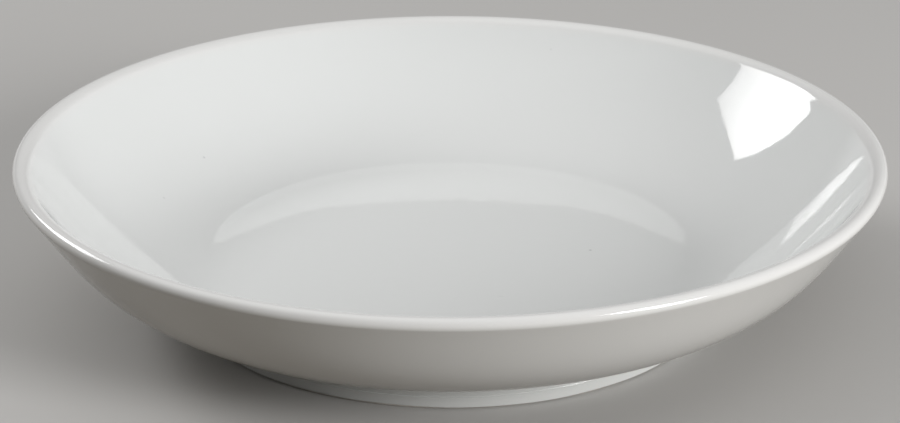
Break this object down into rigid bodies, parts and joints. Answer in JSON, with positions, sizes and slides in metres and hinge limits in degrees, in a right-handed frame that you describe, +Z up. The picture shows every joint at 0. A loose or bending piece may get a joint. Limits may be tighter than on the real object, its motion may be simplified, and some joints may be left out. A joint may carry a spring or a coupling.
{
  "type": "coupe soup bowl",
  "caption": "Round coupe soup bowl in white glazed porcelain: a shallow dished well turning up into a flared wall with a rounded lip, standing on a low foot ring.",
  "frame": {"origin": "on the table, at the centre of the foot ring's bearing edge", "axes": "+Z up along the bowl's axis of turning; +X and +Y are any two square directions, because the bowl is round"},
  "size_m": [0.21, 0.21, 0.0404],
  "materials": {
    "body_biscuit": "unglazed white porcelain, hidden under the glaze",
    "foot_biscuit": "unglazed porcelain, ground smooth on the bearing edge",
    "inside_gloss": "high gloss white glaze",
    "outside_gloss": "high gloss white glaze",
    "base_gloss": "gloss white glaze, bare of any mark"
  },
  "bodies": {
    "root": {"bowl_body": "body_biscuit", "foot_ring": "foot_biscuit", "inside_glaze": "inside_gloss", "outside_glaze": "outside_gloss", "base_glaze": "base_gloss"}
  },
  "joints": []
}
